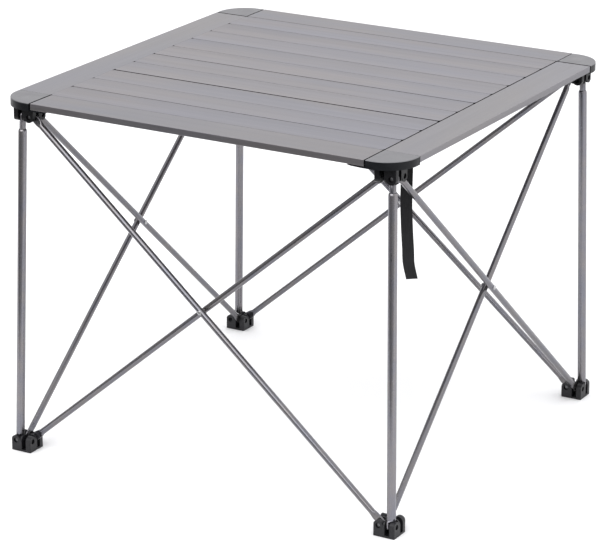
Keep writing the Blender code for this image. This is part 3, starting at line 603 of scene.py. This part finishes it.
def corner_cap(name, sx, sy):
    z_low, z_high = TOP_HEIGHT - CAP_DEEP, TOP_HEIGHT
    bm = bmesh.new()
    bm.from_mesh(prism_mesh(name, cap_outline(0, sx, sy), z_low, z_high))
    near = INNER + GAP + 0.01 * MM
    rim = [e for e in bm.edges if min(v.co.z for v in e.verts) > z_high - 0.0001]
    rim = [e for e in rim if max(abs(v.co.x) for v in e.verts) > near and max(abs(v.co.y) for v in e.verts) > near]
    bmesh.ops.bevel(bm, geom=rim, offset=1.0 * MM, segments=4, profile=0.5, affect="EDGES")
    body = mesh_of(bm, name)
    pocket = prism_mesh("pocket", cap_outline(CAP_WALL, sx, sy, 20), z_low - 5 * MM, z_high - CAP_PLATE)

    def block(x0, x1, y0, y1, z0, z1, label):
        xs, ys = sorted((sx * x0, sx * x1)), sorted((sy * y0, sy * y1))
        return box_mesh(label, (xs[0], ys[0], z0), (xs[1], ys[1], z1))

    under = z_low - 5 * MM, HEAD_TOP + GAP
    near = INNER - 5 * MM
    stop = INNER + GAP + CAP_WALL + 1 * MM
    trim_a = block(near, stop, near, HALF - CAP_WALL - 0.4 * MM, *under, "trim")
    trim_b = block(near, HALF - CAP_WALL - 0.4 * MM, near, stop, *under, "trim")
    body = combine(body, [pocket, trim_a, trim_b], "DIFFERENCE")
    rib_z = HEAD_TOP + GAP, z_high - CAP_PLATE + 1 * MM
    arm = 21 * MM
    c = HEAD_CENTRE
    ribs = [
        block(INNER + 1.5 * MM, c + arm, c - 1 * MM, c + 1 * MM, *rib_z, "rib"),
        block(c - 1.2 * MM, c + 1.2 * MM, INNER + 1.5 * MM, c + arm, *rib_z, "rib"),
    ]
    # Shelf under the end of the front or back rail: its underside rises towards its tip.
    top = TOP_HEIGHT - RAIL_THICK - GAP
    y0, y1 = sorted((sy * (HALF - 15.5 * MM), sy * (HALF - CAP_WALL + 0.7 * MM)))
    side = [
        (INNER - LIP_REACH, top), (INNER - LIP_REACH, top - 1.7 * MM), (INNER - LIP_REACH + 6 * MM, top - 2.6 * MM),
        (INNER - 4 * MM, top - 3.3 * MM), (INNER + 3.4 * MM, top - 3.3 * MM), (INNER + 3.4 * MM, top),
    ]  # fmt: skip
    bm = bmesh.new()
    low = [bm.verts.new((sx * x, y0, z)) for x, z in side]
    made = bmesh.ops.extrude_face_region(bm, geom=[bm.faces.new(low)])
    moved = [v for v in made["geom"] if isinstance(v, bmesh.types.BMVert)]
    bmesh.ops.translate(bm, vec=(0, y1 - y0, 0), verts=moved)
    shelf = mesh_of(bm, "shelf")
    neck = block(
        INNER + 1.0 * MM, INNER + 9 * MM, HALF - 6 * MM, HALF - CAP_WALL + 0.9 * MM,
        TOP_HEIGHT - RAIL_THICK - 2.4 * MM, TOP_HEIGHT - RAIL_THICK + 3 * MM, "neck",
    )  # fmt: skip
    return combine(body, ribs + [shelf, neck], "UNION")


def build_caps():
    for corner, (sx, sy) in CORNERS.items():
        name = "cap_" + corner
        mesh = corner_cap(name, sx, sy)
        obj = piece(name + "_fine", mesh, [MATS["cap_skirt"], MATS["cap_top"]], "tabletop", [name], smooth=30, flat=True)
        for face in obj.data.polygons:
            high = all(obj.data.vertices[v].co.z > TOP_HEIGHT - 1.02 * MM for v in face.vertices)
            face.material_index = 1 if high and face.normal.z > 0.12 else 0


# ---- frame ---------------------------------------------------------------------------------------
SIDES = {"front": (0, -1), "right": (1, 0), "back": (0, 1), "left": (-1, 0)}
CORNERS = {"front_left": (-1, -1), "front_right": (1, -1), "back_right": (1, 1), "back_left": (-1, 1)}


def slot_frame(side, hand):
    d = Vector(SIDES[side])
    h = Vector((-d.y, d.x)) * hand
    return d, h, d * PIN_OFF + h * SLOT_OFF


def hinge_block(name, hand, bar_sides, leg_side):
    """A foot block about its own middle, base at z = 0; the pins are pieces of their own."""
    half = BLOCK / 2
    over = 1 * MM

    def upright(edge):
        return abs(edge.verts[0].co.z - edge.verts[1].co.z) > 0.005

    body = box_mesh(name, (-half - over, -half - over, -over), (half + over, half + over, PIN_HIGH + 0.6 * MM))
    outline = box_mesh("outline", (-half, -half, 0), (half, half, BLOCK_HIGH + 1 * MM), 1.7 * MM, upright, 5)
    ears, cuts = [], []
    for side in SIDES:
        d, h, p = slot_frame(side, hand)
        start = Vector((*(d * (half - EAR_RADIUS) + h * (half + 2 * over)), PIN_HIGH))
        ears.append(rod_mesh("ear", start, (-h.x, -h.y, 0), half + 2 * over + 1.3 * MM, EAR_RADIUS, 44))
        a = d * (half + 2 * MM) + h * (SLOT_OFF + SLOT / 2)
        b = d * (half - SLOT_DEEP) + h * (SLOT_OFF - SLOT / 2)
        xs, ys = sorted((a.x, b.x)), sorted((a.y, b.y))
        cuts.append(box_mesh("slot", (xs[0], ys[0], BLOCK_BASE), (xs[1], ys[1], BLOCK_HIGH + 3 * MM)))
        reach = half - RECESS_DEEP
        recess = Vector((*(d * PIN_OFF + h * reach), PIN_HIGH))
        cuts.append(rod_mesh("recess", recess, (h.x, h.y, 0), RECESS_DEEP + 2 * MM, RECESS_R, 28))
        if side not in bar_sides and side != leg_side:
            low = Vector((*(d * PIN_OFF - h * 0.8 * MM), PIN_HIGH))
            cuts.append(rod_mesh("hole", low, (h.x, h.y, 0), reach + 2 * MM, 2.35 * MM, 20))
    body = combine(body, ears, "UNION")
    body = combine(body, [outline], "INTERSECT")
    body = combine(body, cuts, "DIFFERENCE")
    return eased(body, 0.32 * MM, 2, 40)


def pin_mesh(name, hand, side):
    """A pin in its slot, in the block's own frame: a shank with a domed head in the recess."""
    d, h, p = slot_frame(side, hand)
    reach = BLOCK / 2 - RECESS_DEEP
    low = Vector((*(d * PIN_OFF - h * 0.5 * MM), PIN_HIGH))
    long = reach + 0.5 * MM + 0.1 * MM
    profile = [(0, PIN_R * 0.8), (0.4 * MM, PIN_R), (long, PIN_R), (long, HEAD_R * 0.97), (long + 0.1 * MM, HEAD_R)]
    profile += [(long + 0.35 * MM, HEAD_R)]
    for k in range(1, 7):
        t = math.pi / 2 * k / 7
        profile.append((long + 0.35 * MM + 0.7 * MM * math.sin(t), HEAD_R * math.cos(t)))
    # A small dimple in the middle of the head, left by the rivet set.
    profile += [(long + 0.98 * MM, HEAD_R * 0.16), (long + 0.90 * MM, HEAD_R * 0.06)]
    return turned_mesh(name, low, (h.x, h.y, 0), profile, 28)


def flat_section(half_w, half_t, sides, power):
    points = []
    for i in range(sides):
        t = 2 * math.pi * (i + 0.5) / sides
        c, s = math.cos(t), math.sin(t)
        k = 2.0 / power
        points.append((half_w * math.copysign(abs(c) ** k, c), half_t * math.copysign(abs(s) ** k, s)))
    return points


def tube_mesh(name, outside, inside, sides=36):
    """A hollow tube along Z, open at both ends, with U round it and V along it in metres."""
    bm = bmesh.new()
    uv = bm.loops.layers.uv.new("UVMap")
    skins = []

    def quad(corners, where):
        face = bm.faces.new(corners)
        for loop, (u, v) in zip(face.loops, where):
            loop[uv].uv = (u, v)

    for inner, stations in enumerate((outside, inside)):
        rings = []
        for z, w, t, power, mid_x, mid_y in stations:
            rings.append([bm.verts.new((x + mid_x, y + mid_y, z)) for x, y in flat_section(w, t, sides, power)])
        skins.append(rings)
        for k, (a, b) in enumerate(zip(rings, rings[1:])):
            z0, z1 = stations[k][0], stations[k + 1][0]
            for i in range(sides):
                j = (i + 1) % sides
                u0, u1 = i / sides, (i + 1) / sides
                if inner:
                    quad((a[i], b[i], b[j], a[j]), ((u0, z0), (u0, z1), (u1, z1), (u1, z0)))
                else:
                    quad((a[i], a[j], b[j], b[i]), ((u0, z0), (u1, z0), (u1, z1), (u0, z1)))
    for end in (0, -1):
        o, n = skins[0][end], skins[1][end]
        z = outside[end][0]
        for i in range(sides):
            j = (i + 1) % sides
            u0, u1 = i / sides, (i + 1) / sides
            quad((o[i], o[j], n[j], n[i]), ((u0, z), (u1, z), (u1, z + 0.001), (u0, z + 0.001)))
    return mesh_of(bm, name)


def flat_end(pin_z, way, radius, bore, shift=(0.0, 0.0), clear=13.0, blend=9.0, steps=9):
    """Stations of a flattened tube end, from its round tip towards the round tube."""
    sx, sy = shift
    w, t = TONGUE_W, TONGUE_T
    iw, it = w - 0.9 * MM, 0.45 * MM
    outside, inside = [], []
    tip = 6.5
    for k in range(7):
        a = math.radians(14 + 76 * k / 6)
        dist = -tip * math.cos(a) * 1.0
        part = math.sin(a) ** 0.8
        outside.append((pin_z + way * dist * MM, w * part, t * (0.86 + 0.14 * part), 4.0, sx, sy))
        inside.append((pin_z + way * dist * MM, iw * part * 0.92, it, 4.0, sx, sy))
    outside.append((pin_z + way * clear * MM, w, t, 4.0, sx, sy))
    inside.append((pin_z + way * clear * MM, iw, it, 4.0, sx, sy))
    for step in range(1, steps + 1):
        k = step / steps
        u = k * k * (3 - 2 * k)
        z = pin_z + way * (clear + blend * k) * MM
        mid = sx * (1 - u), sy * (1 - u)
        outside.append((z, w + (radius - w) * u, t + (radius - t) * u, 4.0 - 2.0 * u, *mid))
        inside.append((z, iw + (bore - iw) * u, it + (bore - it) * u, 4.0 - 2.0 * u, *mid))
    return outside, inside


def along(stations, z0, z1, count):
    """More stations between two heights, so that the tube's rings stay even."""
    z, w, t, power, x, y = stations[-1]
    return [(z0 + (z1 - z0) * i / (count + 1), w, t, power, x, y) for i in range(1, count + 1)]


def bar_mesh(name, length):
    low = flat_end(0.0, 1, BAR_R, BAR_BORE)
    high = flat_end(length, -1, BAR_R, BAR_BORE)
    a, b = low[0][-1][0], high[0][-1][0]
    outside = low[0] + along(low[0], a, b, 10) + high[0][::-1]
    inside = low[1] + along(low[1], a, b, 10) + high[1][::-1]
    return tube_mesh(name, outside, inside, 32)


def bar_matrix(foot, head):
    z = (head - foot).normalized()
    y = Vector((0, 0, 1)).cross(Vector((z.x, z.y, 0))).normalized()
    x = y.cross(z)
    return Matrix.Translation(foot) @ Matrix((x, y, z)).transposed().to_4x4()


def quarter(k):
    return Matrix.Rotation(k * math.pi / 2, 4, "Z")


def pin_point(hand, side, sx, sy):
    d, h, p = slot_frame(side, hand)
    centre = FOOT_CENTRE if hand == 1 else HEAD_CENTRE
    z = PIN_HIGH if hand == 1 else HEAD_TOP - PIN_HIGH
    return Vector((sx * centre + p.x, sy * centre + p.y, z))


def turned_over(mesh):
    mesh.transform(Matrix.Scale(-1, 4, (0, 0, 1)))
    mesh.flip_normals()
    return mesh


def build_frame():
    foot_block = hinge_block("foot_block", 1, ("right", "back"), "left")
    head_block = turned_over(hinge_block("head_block", -1, ("right", "back"), "front"))
    foot_at = Matrix.Translation((-FOOT_CENTRE, -FOOT_CENTRE, 0))
    head_at = Matrix.Translation((-HEAD_CENTRE, -HEAD_CENTRE, HEAD_TOP))
    foot_pins = {side: pin_mesh("pin", 1, side) for side in ("left", "right", "back")}
    head_pins = {side: turned_over(pin_mesh("pin", -1, side)) for side in ("front", "right", "back")}

    outer_foot, outer_head = pin_point(1, "left", 1, -1), pin_point(-1, "right", -1, -1)
    inner_foot, inner_head = pin_point(1, "right", -1, -1), pin_point(-1, "left", 1, -1)
    length = (outer_head - outer_foot).length
    crossing = length * abs(outer_foot.x) / (abs(outer_foot.x) + abs(outer_head.x))
    bar = bar_mesh("scissor_bar", length)
    outer_at, inner_at = bar_matrix(outer_foot, outer_head), bar_matrix(inner_foot, inner_head)
    cross_outer = outer_at @ Vector((0, 0, crossing))
    cross_inner = inner_at @ Vector((0, 0, crossing))
    spread = (cross_inner - cross_outer).length
    head = BAR_R - 0.15 * MM
    dome = []
    for k in range(6):
        t = math.pi / 2 * k / 6
        dome.append((1.3 * MM * math.sin(t), RIVET_HEAD_R * math.cos(t)))
    profile = [(-head - 0.5 * MM - d, r) for d, r in dome[::-1]]
    profile += [(-head - 0.2 * MM, RIVET_HEAD_R), (-head, RIVET_HEAD_R * 0.94), (-head, RIVET_R)]
    profile += [(BAR_R * 0.8, RIVET_R), (BAR_R * 0.8, 3.1 * MM), (spread - BAR_R * 0.8, 3.1 * MM), (spread - BAR_R * 0.8, RIVET_R)]
    profile += [(spread + head, RIVET_R), (spread + head, RIVET_HEAD_R * 0.94), (spread + head + 0.2 * MM, RIVET_HEAD_R)]
    profile += [(spread + head + 0.5 * MM + d, r) for d, r in dome]
    rivet = turned_mesh("rivet", cross_outer, (cross_inner - cross_outer).normalized(), profile, 28)

    foot_axis = Vector((-FOOT_CENTRE - LEG_OFF, -FOOT_CENTRE - LEG_OFF, PIN_HIGH))
    head_axis = Vector((-HEAD_CENTRE - LEG_OFF, -HEAD_CENTRE - LEG_OFF, HEAD_TOP - PIN_HIGH))
    lean = (head_axis - foot_axis).normalized()
    jog = LEG_OFF - SLOT_OFF
    lower_y = (Vector((0, 1, 0)) - lean * lean.y).normalized()
    lower_at = Matrix.Translation(foot_axis) @ Matrix((lower_y.cross(lean), lower_y, lean)).transposed().to_4x4()
    upper_y = (Vector((1, 0, 0)) - lean * lean.x).normalized()
    upper_at = Matrix.Translation(head_axis) @ Matrix((upper_y.cross(lean), upper_y, lean)).transposed().to_4x4()
    mouth = (head_axis - foot_axis).length - MOUTH_BELOW_PIN
    pin_shift = PIN_OFF - LEG_OFF

    low = flat_end(0.0, 1, OUTER_R, OUTER_BORE, shift=(-pin_shift, jog), clear=7.2, blend=2.4, steps=7)
    start, stop = low[0][-1][0], mouth - 4.2 * MM
    shoulder = [(-4.2, 6.9), (-3.2, 6.87), (-2.4, 6.78), (-1.7, 6.62), (-1.1, 6.38), (-0.6, 6.1), (-0.25, 5.85), (0, 5.7)]
    outside = low[0] + along(low[0], start, stop, 10)
    outside += [(mouth + d * MM, r * MM, r * MM, 2.0, 0.0, 0.0) for d, r in shoulder]
    inside = low[1] + along(low[1], start, stop, 10)
    inside += [(mouth - 4.2 * MM, OUTER_BORE, OUTER_BORE, 2.0, 0, 0), (mouth - 1.4 * MM, 5.6 * MM, 5.6 * MM, 2.0, 0, 0)]
    inside += [(mouth, 5.58 * MM, 5.58 * MM, 2.0, 0.0, 0.0)]
    outer_tube = tube_mesh("leg_outer", outside, inside, 40)
    # Two small punch marks in the tube, one above the other.
    outer_tube.transform(lower_at)
    marks = []
    for z in (438 * MM, 430 * MM):
        at = foot_axis + lean * ((z - foot_axis.z) / lean.z)
        way = Vector((math.cos(math.radians(-168)), math.sin(math.radians(-168)), 0))
        marks.append(turned_mesh("mark", at + way * 6.1 * MM, way, [(0, 0.7 * MM), (0.4 * MM, 1.05 * MM), (2 * MM, 1.25 * MM)], 16))
    outer_tube = combine(outer_tube, marks, "DIFFERENCE", tidy=False)

    high = flat_end(0.0, -1, INNER_R, INNER_BORE, shift=(pin_shift, jog), clear=7.6, blend=2.6, steps=7)
    outside = high[0] + [
        (-24.5 * MM, INNER_R, INNER_R, 2.0, 0.0, 0.0),
        (-26.5 * MM, INNER_LOW_R, INNER_LOW_R, 2.0, 0.0, 0.0),
    ]
    taper = -INNER_LONG + 90 * MM
    outside += along(outside, -26.5 * MM, taper, 5)
    outside += [(taper, INNER_LOW_R, INNER_LOW_R, 2.0, 0.0, 0.0), (-INNER_LONG, 2.7 * MM, 2.7 * MM, 2.0, 0.0, 0.0)]
    inside = high[1] + [(-26.5 * MM, INNER_LOW_BORE, INNER_LOW_BORE, 2.0, 0.0, 0.0)]
    inside += along(inside, -26.5 * MM, taper, 5)
    inside += [(taper, INNER_LOW_BORE, INNER_LOW_BORE, 2.0, 0.0, 0.0), (-INNER_LONG, 2.0 * MM, 2.0 * MM, 2.0, 0.0, 0.0)]
    inner_tube = tube_mesh("leg_inner", outside[::-1], inside[::-1], 36)

    turns = ["front", "right", "back", "left"]
    for k, corner in enumerate(CORNERS):
        turn = quarter(k)
        foot, top = "foot_" + corner, "head_" + corner
        for hand, block, pins, at, leg_side, body, kind in (
            ("low", foot_block, foot_pins, foot_at, "left", foot, "foot_block_"),
            ("high", head_block, head_pins, head_at, "front", top, "head_block_"),
        ):
            node = kind + corner
            # The head blocks take the darker copy of the nylon, which is painted shade.
            piece(node + "_fine", block.copy(), MATS["block" if hand == "low" else "head"], body, [node], 30, turn @ at, True)
            for side, pin in pins.items():
                if side == leg_side:
                    pin_node = "leg_pin_%s_%s" % (hand, corner)
                    piece(pin_node + "_fine", pin.copy(), MATS["steel"], body, [pin_node], 40, turn @ at)
                else:
                    name = "bar_pin_%s_%s_%s" % (hand, corner, side)
                    piece(name, pin.copy(), MATS["steel"], body, [node], 40, turn @ at)
        leg = "leg_outer_" + corner
        piece(leg + "_fine", outer_tube.copy(), MATS["leg_outer"], leg, [leg], 40, turn)
        leg = "leg_inner_" + corner
        piece(leg + "_fine", inner_tube.copy(), MATS["leg_inner"], leg, [leg], 40, turn @ upper_at)
        side = turns[k]
        for which, at in (("bar_outer_", outer_at), ("bar_inner_", inner_at)):
            node = which + side
            piece(node + "_fine", bar.copy(), MATS["bar"], node, [node], 40, turn @ at)
        node = "crossing_rivet_" + side
        piece(node + "_fine", rivet.copy(), MATS["rivet"], "crossing_" + side, [node], 40, turn)


# ---- strap ---------------------------------------------------------------------------------------
def strap_drift(z):
    """Sideways place of the strap at a height: a smooth curve through STRAP_DRIFT."""
    high = z / MM
    for k in range(1, len(STRAP_DRIFT) - 2):
        (za, a), (zb, b), (zc, c), (zd, d) = STRAP_DRIFT[k - 1 : k + 3]
        if high >= zc:
            t = (zb - high) / (zb - zc)
            ma, mb = (c - a) / (za - zc) * (zb - zc), (d - b) / (zb - zd) * (zb - zc)
            t2, t3 = t * t, t * t * t
            return MM * ((2 * t3 - 3 * t2 + 1) * b + (t3 - 2 * t2 + t) * ma + (3 * t2 - 2 * t3) * c + (t3 - t2) * mb)
    return MM * STRAP_DRIFT[-2][1]


def strap_path():
    under = TOP_HEIGHT - RAIL_THICK - GAP - STRAP_T / 2
    points = [Vector((STRAP_X, STRAP_Y + STRAP_TAB - i * 3.8 * MM, under)) for i in range(6)]
    bend = 5 * MM
    for i in range(1, 9):
        t = math.pi / 2 * i / 8
        points.append(Vector((STRAP_X, STRAP_Y + bend - bend * math.sin(t), under - bend + bend * math.cos(t))))
    steps = 44
    top = under - bend
    for i in range(1, steps + 1):
        u = i / steps
        wave = 1.6 * MM * math.sin(u * 2 * math.pi * 1.1) * u
        z = top + (STRAP_LOW - top) * u
        points.append(Vector((STRAP_X + strap_drift(z), STRAP_Y + wave, z)))
    return points


def build_strap():
    path = strap_path()
    # Section of the webbing: five soft ribs on each face and a tight round selvedge at each edge.
    half, thick = STRAP_W / 2, STRAP_T / 2
    count = 30
    upper = []
    for i in range(count + 1):
        u = -1 + 2 * i / count
        edge = max(0.0, 1 - ((1 - abs(u)) / 0.075)) ** 2
        rib = 0.11 * MM * (0.5 + 0.5 * math.cos(u * math.pi * 6))
        upper.append((u * half, (thick - 0.13 * MM + rib) * math.sqrt(max(0.03, 1 - edge))))
    section = [(x, y, i) for i, (x, y) in enumerate(upper)]
    section += [(x, -y, len(upper) + i) for i, (x, y) in enumerate(upper[::-1])]
    bm = bmesh.new()
    uv = bm.loops.layers.uv.new("UVMap")
    rings, lengths, run = [], [], 0.0
    for i, p in enumerate(path):
        a, b = path[max(i - 1, 0)], path[min(i + 1, len(path) - 1)]
        run += (p - path[i - 1]).length if i else 0.0
        lengths.append(run)
        line = (b - a).normalized()
        wide = (Vector((1, 0, 0)) - line * line.x).normalized()
        up = line.cross(wide).normalized()
        rings.append([bm.verts.new(p + wide * x + up * y) for x, y, _ in section])
    n = len(section)
    for k, (a, b) in enumerate(zip(rings, rings[1:])):
        for i in range(n):
            j = (i + 1) % n
            face = bm.faces.new((a[i], a[j], b[j], b[i]))
            xs = (section[i][0], section[j][0], section[j][0], section[i][0])
            vs = (lengths[k], lengths[k], lengths[k + 1], lengths[k + 1])
            for loop, x, v in zip(face.loops, xs, vs):
                loop[uv].uv = (x * 1000, v * 1000)
    for ring in (rings[0], rings[-1]):
        face = bm.faces.new(ring)
        for loop, (x, y, _) in zip(face.loops, section):
            loop[uv].uv = (x * 1000, y * 1000)
    strap = piece("storage_strap_fine", mesh_of(bm, "strap"), MATS["webbing"], "tabletop", ["storage_strap"], 50)
    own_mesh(strap)
    spot = Vector((STRAP_X, STRAP_Y + STRAP_TAB * 0.62, TOP_HEIGHT - RAIL_THICK - GAP - STRAP_T - 0.1 * MM))
    profile = [(-1.0 * MM, 0.5 * MM), (-1.1 * MM, 1.3 * MM), (-0.95 * MM, 2.2 * MM), (-0.6 * MM, 3.1 * MM)]
    profile += [(-0.2 * MM, 3.5 * MM), (0, 3.6 * MM), (0.1 * MM, 3.5 * MM), (0.1 * MM, 1.5 * MM), (1.7 * MM, 1.5 * MM)]
    rivet = turned_mesh("strap_rivet", spot, (0, 0, 1), profile, 28)
    piece("strap_rivet_fine", rivet, MATS["steel"], "tabletop", ["strap_rivet"], 45)


# ---- light, floor and camera ---------------------------------------------------------------------
def build_world():
    world = bpy.data.worlds.new("studio")
    world.use_nodes = True
    bpy.context.scene.world = world
    tree = world.node_tree
    tree.nodes.clear()
    out = tree.nodes.new("ShaderNodeOutputWorld")
    back = tree.nodes.new("ShaderNodeBackground")
    coord = tree.nodes.new("ShaderNodeTexCoord")
    split = tree.nodes.new("ShaderNodeSeparateXYZ")
    tree.links.new(coord.outputs["Generated"], split.inputs[0])

    def scale(socket, factor, add=None):
        node = tree.nodes.new("ShaderNodeMath")
        node.operation = "MULTIPLY_ADD"
        tree.links.new(socket, node.inputs[0])
        node.inputs[1].default_value = factor
        if add is None:
            node.inputs[2].default_value = WORLD_BASE
        else:
            tree.links.new(add, node.inputs[2])
        return node.outputs[0]

    total = scale(split.outputs["X"], WORLD_X)
    total = scale(split.outputs["Y"], WORLD_Y, total)
    total = scale(split.outputs["Z"], WORLD_Z, total)
    floor = tree.nodes.new("ShaderNodeMath")
    floor.operation = "MAXIMUM"
    tree.links.new(total, floor.inputs[0])
    floor.inputs[1].default_value = 0.05
    back.inputs["Color"].default_value = (1.0, 1.0, 1.01, 1)
    tree.links.new(floor.outputs[0], back.inputs["Strength"])
    tree.links.new(back.outputs[0], out.inputs[0])


WORLD_BASE, WORLD_X, WORLD_Y, WORLD_Z = 0.90, 0.27, 0.48, 0.55
FLOOR_FRONT = -0.85
FRONT_POWER = 160


def area_light(name, place, target, size, size_y, power, spread=180.0):
    data = bpy.data.lights.new(name, "AREA")
    data.shape = "RECTANGLE"
    data.size, data.size_y = size, size_y
    data.energy = power
    data.spread = math.radians(spread)
    obj = bpy.data.objects.new(name, data)
    obj.location = place
    obj.rotation_euler = (Vector(target) - Vector(place)).to_track_quat("-Z", "Y").to_euler()
    bpy.context.scene.collection.objects.link(obj)
    return obj


def build_stage():
    bm = bmesh.new()
    bmesh.ops.create_grid(bm, x_segments=24, y_segments=24, size=20.0)
    bmesh.ops.translate(bm, vec=(0, FLOOR_FRONT - min(v.co.y for v in bm.verts), 0), verts=bm.verts)
    floor = bpy.data.objects.new("floor", mesh_of(bm, "floor"))
    floor.data.materials.append(floor_material("floor_pale"))
    floor.location = (0, 0, -0.0004)
    bpy.context.scene.collection.objects.link(floor)
    floor.visible_shadow = False
    area_light("front", (-0.4, -3.6, 3.0), (0, 0, 0), 5.0, 3.4, FRONT_POWER)


def build_camera():
    az, el, roll = math.radians(29.97), math.radians(18.99), math.radians(0.23)
    forward = Vector((-math.sin(az) * math.cos(el), math.cos(az) * math.cos(el), -math.sin(el)))
    right = Vector((math.cos(az), math.sin(az), 0))
    up = right.cross(forward)
    r = right * math.cos(roll) + up * math.sin(roll)
    u = up * math.cos(roll) - right * math.sin(roll)
    t = Vector((0.01867794, 0.34368755, 6.73049774)) * 0.7
    place = -(r * t.x - u * t.y + forward * t.z)
    data = bpy.data.cameras.new("camera")
    data.sensor_fit = "HORIZONTAL"
    data.sensor_width = 36
    data.lens = 172.716
    data.clip_start, data.clip_end = 0.05, 100
    obj = bpy.data.objects.new("camera", data)
    turn = Matrix((r, u, -forward)).transposed().to_4x4()
    obj.matrix_world = Matrix.Translation(place) @ turn
    bpy.context.scene.collection.objects.link(obj)
    bpy.context.scene.camera = obj


bpy.context.scene.view_settings.view_transform = "Standard"
build_camera()
build_strips()
build_side_rails()
build_caps()
build_frame()
build_strap()
build_world()
build_stage()

bpy.context.view_layer.update()
